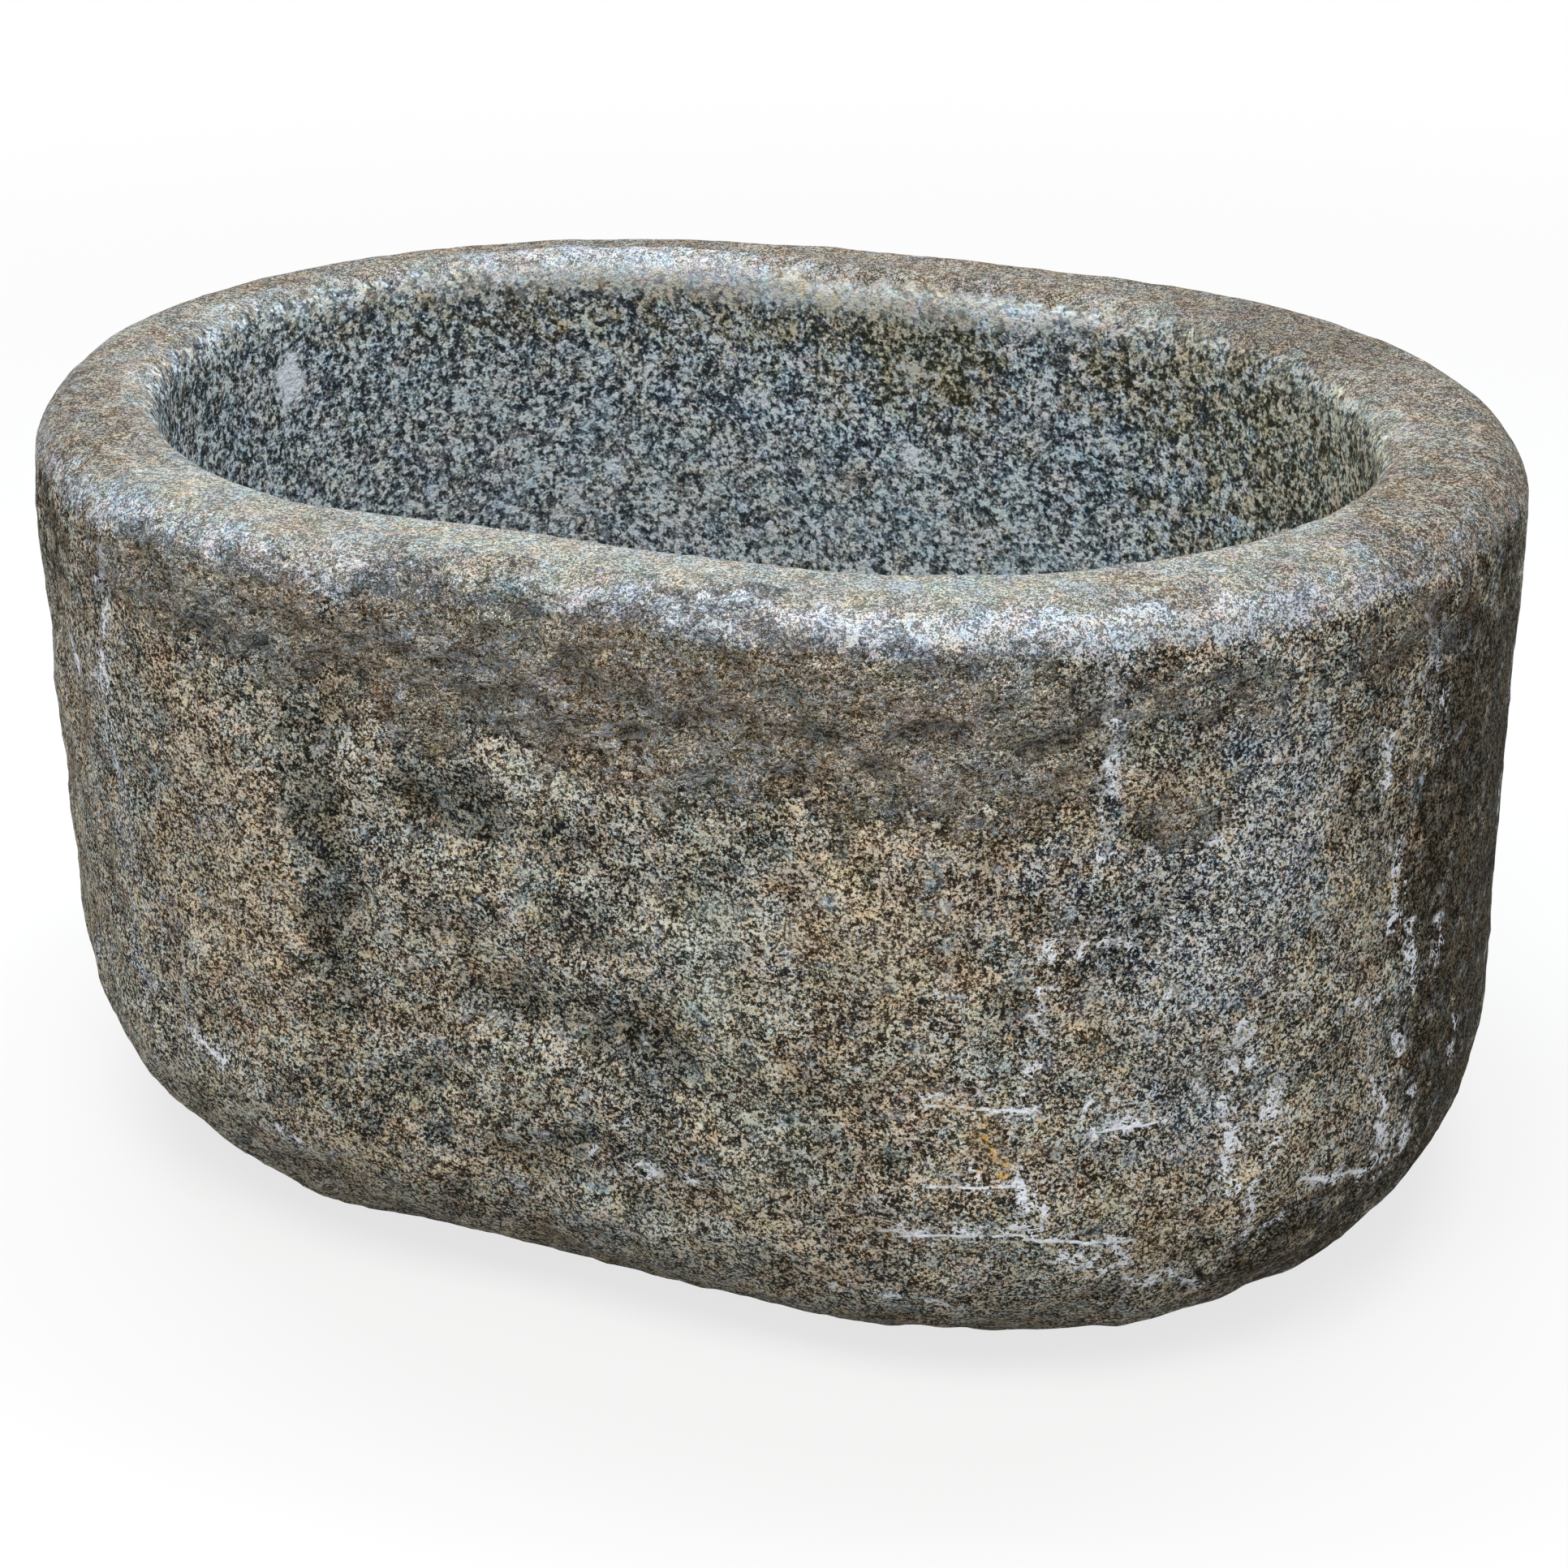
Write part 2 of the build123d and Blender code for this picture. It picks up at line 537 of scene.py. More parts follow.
def paint_wear(mesh):
    """Maps of where the stone is clean, rubbed or glossy, and where a pale painted sheen lies on it.
    """
    patina = np.where(inside > 0, within("inner_edge") * above(0.466, 0.010), 1.0)
    paint(mesh, "patina", patina * (1 - within("sole", "drain")))
    silt = within("floor") * smooth(0.5 + 1.6 * ragged) * 0.7
    paint(mesh, "warm", np.maximum(patches(warm_spots, inside, across, soft=0.9), silt))
    # A pale painted sheen, a painted highlight, round the hollow's lip; paler spots lower down
    lip_band = above(0.432, 0.034) * inside * by_direction(lip_painted_sheen)
    paint(mesh, "lip", lip_band + patches(paler_spots, within("hollow"), across, soft=0.9))
    rim_top = within("rim") + within("inner_edge") * above(0.461, 0.014)
    rim_top += within("outer_edge") * above(0.447, 0.016)
    paint(mesh, "rim_top", rim_top)
    rim_inner = smooth((np.arange(len(zones)) - first_ring("rim")) / rim_rings - 0.4)[:, None]
    lip = within("inner_edge") + within("rim") * rim_inner
    # The rim's lip is painted paler, partly as a painted highlight
    lip_paleness_and_sheen = 0.2 + 0.3 * by_direction(lip_painted_sheen)
    paint(mesh, "rim_pale", by_direction(rim_paleness) + lip_paleness_and_sheen * lip - 0.12)
    # A band along the outer edge and the mouth's edge: glossier, with a pale painted sheen
    off_edge = np.abs(level - 0.460 + ragged * 0.004)
    edge_band = smooth(1.6 - off_edge / 0.009) * within("outer_edge", "wall")
    mouth_band = within("inner_edge") * by_direction(mouth_polish_and_painted_sheen)
    paint(mesh, "gloss_and_painted_sheen", edge_band * by_direction(edge_polish_and_painted_sheen) + mouth_band)


def paint_stains(mesh):
    """Maps of stains, painted shade on the right end, painted glints, lime, scrapes and bruises."""
    for name, spots in stains.items():
        paint(mesh, name, patches(spots, outside))
    paint(mesh, "glints", patches(glint_patches, outside, soft=0.8))
    paint(mesh, "bruise", patches(hollow_bruises, inside))
    lime_away, lime_shown = stroke_maps(in_metres(lime_strokes) + random_strokes(), 0.012)
    paint(mesh, "lime_away", lime_away)
    paint(mesh, "lime", lime_shown)
    scrape_away, scrape_shown = stroke_maps(in_metres(scrapes), 0.010)
    paint(mesh, "scrape_away", scrape_away)
    paint(mesh, "scrape", scrape_shown)


def paint_shade(mesh):
    """A map of painted shade in dents, at the foot and low in the hollow, also darkening the floor and
    the rim.
    """
    shifts = [(shift, axis) for shift in (-4, -2, 2, 4) for axis in (0, 1)]
    around = sum(np.roll(raised, shift, axis) for shift, axis in shifts) / len(shifts)
    # Painted shade: darker in dents than around them, and towards the foot
    sunk = smooth(0.2 + (around - raised) / 0.003) * (1 - 0.5 * flaky)
    painted_shade = np.clip(sunk + 1.1 * below(0.10, 0.10), 0, 1) * outside
    painted_shade += below(0.170, 0.06) * within("hollow") * 0.35
    painted_shade += patches(rim_darkening, within("inner_edge", "rim"))
    paint(mesh, "shade", painted_shade + within("floor") * (0.30 + 0.25 * ragged))


# Where the front and the back of each stretch go on the square that its colours are kept on:
# left, bottom, width and height. Some stretches are laid down whole
whole_floor = (0.620, 0.672, 0.375, 0.245)
whole_sole = (0.720, 0.926, 0.170, 0.071)
whole_drain = (0.900, 0.926, 0.095, 0.071)
flat_places = (
    (("foot", "wall", "outer_edge"), (0.003, 0.003, 0.755, 0.328), (0.003, 0.337, 0.755, 0.328)),
    (("rim", "inner_edge"), (0.003, 0.926, 0.710, 0.033), (0.003, 0.964, 0.710, 0.033)),
    (("hollow",), (0.003, 0.672, 0.610, 0.215), (0.765, 0.003, 0.230, 0.655)),
    (("floor",), whole_floor, whole_floor),
    (("sole",), whole_sole, whole_sole),
    (("drain",), whole_drain, whole_drain),
)
seam_column = 365  # the outside is cut here and half way round from here


def lay_flat(mesh):
    """A map that lays the whole surface out on one square, each stretch near its true shape."""
    climb = np.linalg.norm(np.roll(surface, -1, 0) - surface, axis=2).mean(1)
    past_seam = (np.arange(columns) - seam_column) % columns
    half = columns // 2
    front = past_seam < half
    flat = np.zeros((len(surface), columns, 4, 2))
    for names, front_place, back_place in flat_places:
        sides = np.array(front_place)[:, None], np.array(back_place)[:, None]
        rings = np.flatnonzero(np.isin(zones, names))
        climbed = np.concatenate([[0], np.cumsum(climb[rings])]) / climb[rings].sum()
        left, bottom, width, depth = np.where(front, *sides)
        for corner, (ring_step, column_step) in enumerate(((0, 0), (0, 1), (1, 1), (1, 0))):
            up = climbed[np.arange(len(rings)) + ring_step][:, None] * np.ones(columns)
            if names in (("floor",), ("sole",)):
                spread = np.roll(bare_grid, (-ring_step, -column_step), (0, 1))[rings]
                facing = 1 if "floor" in names else -1
                over = facing * spread[..., 0] / (2 * half_length) + 0.5
                up = spread[..., 1] / (2 * half_width) + 0.5
            elif "drain" in names:
                over = (past_seam + column_step) / columns
            else:
                over = (past_seam % half + column_step) / half * np.ones(up.shape)
            if "hollow" in names:
                over, up = np.where(front, over, 1 - up), np.where(front, up, over)
            flat[rings, :, corner, 0] = left + width * over
            flat[rings, :, corner, 1] = bottom + depth * up
    layer = mesh.uv_layers.new(name="OFBake")
    layer.uv.foreach_set("vector", flat.reshape(-1).astype(np.float32))


# Shader node helpers

def feed(tree, socket, value):
    """Links a node's socket to another one, or sets it to a number, a vector or a colour."""
    if isinstance(value, bpy.types.NodeSocket):
        tree.links.new(value, socket)
    elif isinstance(value, tuple):
        socket.default_value = (*value, 1.0)[:len(socket.default_value)]
    else:
        socket.default_value = value


def add_node(tree, kind, values=(), **settings):
    """A node with settings as given and inputs set to values or linked to sockets."""
    made = tree.nodes.new(kind)
    for name, setting in settings.items():
        setattr(made, name, setting)
    for name, value in dict(values).items():
        feed(tree, made.inputs[name], value)
    return made


def maths(tree, operation, *values):
    return add_node(tree, "ShaderNodeMath", enumerate(values), operation=operation).outputs[0]


def times(tree, first, second):
    return maths(tree, "MULTIPLY", first, second)


def times_plus(tree, value, factor, more):
    """A value times a factor, plus more."""
    return maths(tree, "MULTIPLY_ADD", value, factor, more)


def centred(tree, value, middle=0.5):
    """A value moved down so that its middle comes to 0."""
    return maths(tree, "SUBTRACT", value, middle)


def noise_at(tree, place, size, detail=2.0, roughness=0.5, distortion=0.0):
    """Smooth noise with lumps of a size in metres, or as dense as a given socket says."""
    values = {"Vector": place, "Detail": detail, "Roughness": roughness, "Distortion": distortion}
    values["Scale"] = size if isinstance(size, bpy.types.NodeSocket) else 1.0 / size
    return add_node(tree, "ShaderNodeTexNoise", values).outputs["Fac"]


def ramp(tree, value, start, end, low=0.0, high=1.0, smoothly=True):
    """A value stretched so that start gives low and end gives high."""
    values = {"Value": value, "From Min": start, "From Max": end, "To Min": low, "To Max": high}
    kind = "SMOOTHSTEP" if smoothly else "LINEAR"
    return add_node(tree, "ShaderNodeMapRange", values, interpolation_type=kind).outputs[0]


def blend(tree, share, first, second, blend_type="MIX"):
    """Two colours mixed; the share is that of the second."""
    values = {0: share, 6: first, 7: second}
    made = add_node(tree, "ShaderNodeMix", values, data_type="RGBA", blend_type=blend_type)
    return made.outputs[2]


def block_place(tree, stretch=(1.0, 1.0, 1.0)):
    """Places on the block, in metres, drawn together along some axes."""
    place = add_node(tree, "ShaderNodeTexCoord").outputs["Object"]
    if stretch == (1.0, 1.0, 1.0):
        return place
    made = add_node(tree, "ShaderNodeMapping", {"Vector": place, "Scale": stretch})
    return made.outputs["Vector"]


mid_grey = (0.2, 0.2, 0.2, 1.0)


def shader_group(inputs):
    """Turns a function that wires a group, and returns its outputs by name, into that group."""
    kinds = {True: "NodeSocketColor", False: "NodeSocketFloat"}

    def make(wire):
        group = bpy.data.node_groups.new(wire.__name__, "ShaderNodeTree")
        for name, default in inputs.items():
            kind = kinds[isinstance(default, tuple)]
            socket = group.interface.new_socket(name, in_out="INPUT", socket_type=kind)
            socket.default_value = default
        results = wire(group, group.nodes.new("NodeGroupInput").outputs)
        for name, value in results.items():
            kind = kinds[value.type == "RGBA"]
            group.interface.new_socket(name, in_out="OUTPUT", socket_type=kind)
        ends = group.nodes.new("NodeGroupOutput").inputs
        for name, value in results.items():
            group.links.new(value, ends[name])
        return group

    return make


def place_group(tree, group, values=()):
    return add_node(tree, "ShaderNodeGroup", values, node_tree=group).outputs


def feed_shader(tree, shader, values):
    for name, value in values.items():
        feed(tree, shader.inputs[name], value)


def add_bump(tree, raised, distance, strength):
    values = {"Height": raised, "Distance": distance, "Strength": strength}
    return add_node(tree, "ShaderNodeBump", values).outputs["Normal"]


# Effects that the granite's finishes share

@shader_group({"Grain Size": 0.004, "Contrast": 1.0})
def granite_grains(group, given):
    """Dark mica and pale feldspar grains, run together like worms, with finer flecks over them."""
    place = block_place(group)
    density = maths(group, "DIVIDE", 1.0, given["Grain Size"])
    grains = noise_at(group, place, density, 2.0, 0.6, 0.25)
    clumps = noise_at(group, place, times(group, density, 0.28), 2.0, 0.5, 0.3)
    flecks = noise_at(group, place, times(group, density, 2.2), 1.0, 0.5)
    crystal_values = {"Vector": place, "Scale": times(group, density, 0.8), "Randomness": 1.0}
    crystals = add_node(group, "ShaderNodeTexVoronoi", crystal_values).outputs["Color"]
    crystal_parts = add_node(group, "ShaderNodeSeparateColor", {"Color": crystals}).outputs
    total = centred(group, grains)
    for part, weight in ((clumps, 0.36), (crystal_parts["Red"], 0.16), (flecks, 0.5)):
        total = maths(group, "ADD", total, times_plus(group, part, weight, -weight / 2))
    sharpened = times(group, total, times(group, given["Contrast"], 3.8))
    tone = maths(group, "ADD", sharpened, 0.5)
    tone.node.use_clamp = True
    return {"Tone": tone, "Flecks": flecks, "Crystal": crystal_parts["Green"]}


@shader_group({"Tone": 0.5, "Dark": (0, 0, 0, 1), "Middle": mid_grey, "Pale": (1, 1, 1, 1)})
def speckle_colour(group, given):
    """The colour of a grain of a given tone, from dark through middling to pale."""
    lower = ramp(group, given["Tone"], 0.0, 0.5, smoothly=False)
    upper = ramp(group, given["Tone"], 0.5, 1.0, smoothly=False)
    darker = blend(group, lower, given["Dark"], given["Middle"])
    return {"Colour": blend(group, upper, darker, given["Pale"])}


@shader_group({"Mask": 0.0, "Lump Size": 0.01, "Raggedness": 0.5})
def ragged_edge(group, given):
    """A soft map broken up at its edges, the way a stain soaks into stone."""
    density = maths(group, "DIVIDE", 1.0, given["Lump Size"])
    lumps = noise_at(group, block_place(group), density, 4.0, 0.65)
    offset = times(group, centred(group, lumps), given["Raggedness"])
    shifted = times_plus(group, offset, 3.0, given["Mask"])
    kept = times(group, ramp(group, shifted, 0.15, 0.85), ramp(group, given["Mask"], 0.0, 0.2))
    return {"Mask": kept}


@shader_group({"Flake Size": 0.008})
def stone_flakes(group, given):
    """Thin flat-lying flakes of split stone: tone, painted edge highlights, painted glints, height."""
    place = block_place(group, (1.0, 1.0, 1.7))
    chip_place = block_place(group, (0.8, 0.8, 2.0))
    density = maths(group, "DIVIDE", 1.0, given["Flake Size"])
    folds = noise_at(group, place, density, 3.0, 0.6, 1.0)
    fold = maths(group, "ABSOLUTE", centred(group, folds))
    fine = noise_at(group, place, times(group, density, 2.6), 3.0, 0.65, 0.4)
    ledges = noise_at(group, place, times(group, density, 0.3), 3.0, 0.6, 0.6)
    chips = noise_at(group, chip_place, times(group, density, 1.2), 3.0, 0.7, 0.6)
    cracks = ramp(group, fold, 0.032, 0.0)
    edge_highlights = times(group, ramp(group, fold, 0.015, 0.04), ramp(group, fold, 0.10, 0.06))
    edge_highlights = times(group, edge_highlights, ramp(group, fine, 0.50, 0.57))
    mixed = maths(group, "ADD", ledges, times_plus(group, fine, 2.3, -1.05))
    tone = times_plus(group, cracks, -0.42, mixed)
    tone.node.use_clamp = True
    raised = times_plus(group, fine, 0.7, times(group, fold, 2.6))
    raised = times_plus(group, ledges, 3.2, raised)
    return {"Tone": tone, "Edges": edge_highlights, "Glint Chips": ramp(group, chips, 0.56, 0.59), "Height": raised}


@shader_group({"Away": 1.0, "Mask": 0.0, "Scrape Away": 1.0, "Scrape": 0.0})
def lime_runs(group, given):
    """Lime beside a line: lacy, broken veins and loose crumbs. Scrapes that hold it are straight."""
    place = block_place(group)
    curls = noise_at(group, place, 0.013, 3.0, 0.6, 0.4)
    strayed = times_plus(group, centred(group, curls), 0.030, given["Away"])
    off_line = maths(group, "ABSOLUTE", strayed)
    veins = noise_at(group, place, 0.0065, 2.0, 0.6, 0.5)
    off_vein = maths(group, "ABSOLUTE", centred(group, veins))
    lace = times(group, ramp(group, off_vein, 0.045, 0.022), ramp(group, off_line, 0.0060, 0.0025))
    thickness = times_plus(group, noise_at(group, place, 0.007, 2.0, 0.6), 0.0088, -0.0034)
    streak = ramp(group, maths(group, "SUBTRACT", off_line, thickness), 0.0006, -0.0004)
    crumbs = ramp(group, noise_at(group, place, 0.0030, 2.0, 0.6), 0.40, 0.48)
    body = maths(group, "MAXIMUM", lace, times(group, streak, crumbs))
    gaps = ramp(group, noise_at(group, place, 0.018, 2.0, 0.6), 0.42, 0.50)
    loose = ramp(group, noise_at(group, place, 0.0036, 2.0, 0.7), 0.63, 0.68)
    crust = maths(group, "MAXIMUM", times(group, body, gaps), times(group, loose, 0.8))
    crust = times(group, crust, ramp(group, given["Mask"], 0.05, 0.35))

    waver = centred(group, noise_at(group, place, 0.014, 1.0))
    off_scrape = maths(group, "ABSOLUTE", times_plus(group, waver, 0.004, given["Scrape Away"]))
    held = ramp(group, noise_at(group, place, 0.005, 2.0, 0.6), 0.36, 0.46)
    held = times(group, held, ramp(group, given["Scrape"], 0.1, 0.5))
    scraped = times(group, ramp(group, off_scrape, 0.0013, 0.0005), held)
    return {"Crust": maths(group, "MAXIMUM", crust, scraped)}


@shader_group({"Colour": mid_grey, "Tint Size": 0.005, "Warmth": 0.22})
def stray_tints(group, given):
    """Faint tints, warm to cool and a little green to rosy, that stray over the grains."""
    place = block_place(group)
    density = maths(group, "DIVIDE", 1.0, given["Tint Size"])
    greenness = times(group, given["Warmth"], 0.45)
    tinted = given["Colour"]
    for coarser in (1.0, 0.25):
        values = {"Vector": place, "Detail": 1.0, "Scale": times(group, density, coarser)}
        strays = add_node(group, "ShaderNodeTexNoise", values).outputs["Color"]
        stray_parts = add_node(group, "ShaderNodeSeparateColor", {"Color": strays}).outputs
        warm = times(group, centred(group, stray_parts["Red"]), given["Warmth"])
        green = times(group, centred(group, stray_parts["Green"]), greenness)
        tint_values = {
            "Red": maths(group, "ADD", 0.5, warm),
            "Green": maths(group, "ADD", 0.5, green),
            "Blue": maths(group, "SUBTRACT", 0.5, warm),
        }
        tint = add_node(group, "ShaderNodeCombineColor", tint_values).outputs["Color"]
        tinted = blend(group, 1.0, tinted, tint, "OVERLAY")
    return {"Colour": tinted}


@shader_group({"Mask": 0.0})
def tool_scratches(group, given):
    """Fine scratches, nearly level, where the block was dragged and scrubbed."""
    streaks = noise_at(group, block_place(group, (0.06, 0.06, 1.0)), 0.0028, 2.0, 0.7, 0.1)
    breaks = noise_at(group, block_place(group), 0.02)
    lines = times(group, ramp(group, streaks, 0.60, 0.70), ramp(group, breaks, 0.45, 0.60))
    return {"Scratch": times(group, lines, given["Mask"])}


# Finishes of the stone

# The colours of dark, middling and pale grains in each kind of stone
palettes = {
    "clean": ((0.024, 0.031, 0.038), (0.172, 0.2, 0.214), (0.6, 0.66, 0.69)),
    "warm": ((0.025, 0.025, 0.018), (0.128, 0.126, 0.094), (0.48, 0.47, 0.385)),
    "grey": ((0.016, 0.017, 0.015), (0.16, 0.16, 0.14), (0.68, 0.68, 0.61)),
    "brown": ((0.022, 0.015, 0.01), (0.165, 0.138, 0.1), (0.62, 0.545, 0.42)),
    "tan": ((0.03, 0.021, 0.013), (0.222, 0.178, 0.127), (0.72, 0.625, 0.48)),
    "cream": ((0.03, 0.031, 0.024), (0.2, 0.2, 0.164), (0.66, 0.66, 0.56)),
    "damp": ((0.01, 0.01, 0.009), (0.06, 0.06, 0.05), (0.36, 0.36, 0.31)),
    # Very dark brown: umber stain, and painted shade
    "umber_and_shade": ((0.004, 0.003, 0.001), (0.024, 0.018, 0.009), (0.13, 0.108, 0.075)),
    "bare": ((0.014, 0.018, 0.022), (0.15, 0.16, 0.166), (0.68, 0.7, 0.7)),
    "brown flakes": ((0.044, 0.031, 0.017), (0.275, 0.21, 0.138), (0.76, 0.67, 0.53)),
    "olive flakes": ((0.04, 0.036, 0.024), (0.25, 0.226, 0.168), (0.74, 0.71, 0.62)),
    "brown rim": ((0.034, 0.028, 0.022), (0.114, 0.097, 0.078), (0.38, 0.36, 0.32)),
    "grey rim": ((0.076, 0.077, 0.07), (0.202, 0.205, 0.186), (0.46, 0.465, 0.435)),
    # Pale worn stone under a bluish painted sheen, a painted reflection
    "pale_wear_and_painted_sheen": ((0.13, 0.132, 0.138), (0.325, 0.35, 0.385), (0.56, 0.59, 0.64)),
    "raw": ((0.03, 0.033, 0.036), (0.15, 0.155, 0.155), (0.42, 0.43, 0.43)),
}
# Pale grey of the painted sheen on the hollow's lip, and of its paler spots
lip_sheen_and_pale_grey = (0.46, 0.48, 0.50)
# Bluish white of the painted glints and edge highlights
painted_glint_white = (0.68, 0.72, 0.78)
scratch_grey = (0.55, 0.52, 0.47)
bruise_white = (0.72, 0.77, 0.84)
lime_white = (0.82, 0.86, 0.93)
rust_orange = (0.80, 0.47, 0.13)
rust_brown = (0.30, 0.17, 0.07)
# Brown that the painted shade darkens towards
shade_brown = (0.36, 0.32, 0.26)

# Stains from the first laid down to the last: map, stone, size of the lumps at its edge,
# raggedness of the edge, and cover
stain_layers = (
    ("tan", "tan", 0.020, 0.5, 0.8),
    ("cream", "cream", 0.012, 0.8, 0.8),
    ("clean", "bare", 0.012, 0.9, 1.0),
    ("damp", "damp", 0.008, 1.1, 1.0),
    # Umber: dark stain, and painted shade on the right end
    ("umber_and_shade", "umber_and_shade", 0.012, 0.8, 0.95),
)


def new_finish(name):
    finish = bpy.data.materials.new(name)
    finish.use_nodes = True
    return finish, finish.node_tree, finish.node_tree.nodes["Principled BSDF"]


def speckled(tree, tone, kind):
    """The colour that a tone has in one kind of stone."""
    dark, middle, pale = palettes[kind]
    values = {"Tone": tone, "Dark": dark, "Middle": middle, "Pale": pale}
    return place_group(tree, speckle_colour, values)["Colour"]


def painted(tree, name):
    return add_node(tree, "ShaderNodeAttribute", attribute_name=name).outputs["Fac"]


def ragged_map(tree, name, lump, raggedness):
    """A painted map with its edge broken up into lumps."""
    values = {"Mask": painted(tree, name), "Lump Size": lump, "Raggedness": raggedness}
    return place_group(tree, ragged_edge, values)["Mask"]


def hollow_colour(tree):
    """The hollow, clean below and warmer where the brown has crept in, with painted sheen on its lip.
    """
    inner_grains = place_group(tree, granite_grains, {"Grain Size": 0.0037, "Contrast": 1.0})
    lip = ragged_map(tree, "lip", 0.006, 0.7)
    tone = times_plus(tree, lip, 0.42, inner_grains["Tone"])
    warm = ragged_map(tree, "warm", 0.012, 0.8)
    stone = blend(tree, warm, speckled(tree, tone, "clean"), speckled(tree, tone, "warm"))
    # Painted highlight on the lip, in pale grey
    return blend(tree, times(tree, lip, 0.4), stone, lip_sheen_and_pale_grey)


def stained_colour(tree, outer_grains, clouds, mottle):
    """The outside, stained brown and grey, with painted shade on the right end."""
    tone = times_plus(tree, centred(tree, mottle, 0.52), 1.1, outer_grains["Tone"])
    crystal = outer_grains["Crystal"]
    grey_grains = times_plus(tree, crystal, 0.45, centred(tree, clouds, 0.22))
    grey_share = ramp(tree, grey_grains, 0.42, 0.62)
    stone = blend(tree, grey_share, speckled(tree, tone, "brown"), speckled(tree, tone, "grey"))
    for name, kind, lump, raggedness, cover in stain_layers:
        if kind == "bare":
            cover = ramp(tree, crystal, 0.1, 0.4, 0.35, 0.95)
        shown = times(tree, ragged_map(tree, name, lump, raggedness), cover)
        stone = blend(tree, shown, stone, speckled(tree, tone, kind))
    return stone


def flaked_colour(tree, stone, outer_grains, fleck_shift, clouds):
    """Split and flaking stone under the rim, over the stained stone, with painted glints, and its
    relief.
    """
    parts = place_group(tree, stone_flakes, {"Flake Size": 0.010})
    tone = times_plus(tree, fleck_shift, 1.6, parts["Tone"])
    tone = times_plus(tree, centred(tree, outer_grains["Tone"]), 0.42, tone)
    brown, olive = speckled(tree, tone, "brown flakes"), speckled(tree, tone, "olive flakes")
    flaked = blend(tree, ramp(tree, clouds, 0.42, 0.60), brown, olive)
    # Painted glints on chips, and painted highlights along the flake edges
    glints = maths(tree, "MAXIMUM", painted(tree, "glints"), 0.3)
    glints = times(tree, glints, times(tree, parts["Glint Chips"], 0.9))
    glints = maths(tree, "MAXIMUM", glints, times(tree, parts["Edges"], 0.75))
    flaked = blend(tree, glints, flaked, painted_glint_white)
    cover = ramp(tree, outer_grains["Tone"], 0.0, 1.0, 0.9, 0.65)
    cover = times(tree, ragged_map(tree, "flaky", 0.012, 0.9), cover)
    return blend(tree, cover, stone, flaked), times(tree, parts["Height"], cover)


def rim_colour(tree, rim_tone, clouds):
    """The rim, rubbed smooth and pale."""
    paleness = centred(tree, painted(tree, "rim_pale"), 1.5)
    share = ramp(tree, times_plus(tree, clouds, 2.4, paleness), -0.1, 0.5)
    brown, grey = speckled(tree, rim_tone, "brown rim"), speckled(tree, rim_tone, "grey rim")
    return blend(tree, share, brown, grey)


def marked_colour(tree, stone):
    """Bruises, rust and lime on top of the stone, and painted shade."""
    bruise = times(tree, ragged_map(tree, "bruise", 0.005, 1.3), 0.9)
    stone = blend(tree, bruise, stone, bruise_white)
    lime_values = {
        "Away": painted(tree, "lime_away"),
        "Mask": painted(tree, "lime"),
        "Scrape Away": painted(tree, "scrape_away"),
        "Scrape": painted(tree, "scrape"),
    }
    crust = place_group(tree, lime_runs, lime_values)["Crust"]
    rust = ragged_map(tree, "rust", 0.004, 0.8)
    stone = blend(tree, times(tree, rust, 0.12), stone, rust_brown)
    crust_colour = blend(tree, rust, lime_white, rust_orange)
    stone = blend(tree, times(tree, crust, 0.96), stone, crust_colour)
    # Painted shade from the shade map: dents, the foot, low in the hollow, the floor and the rim
    return blend(tree, times(tree, painted(tree, "shade"), 0.55), stone, shade_brown, "MULTIPLY")


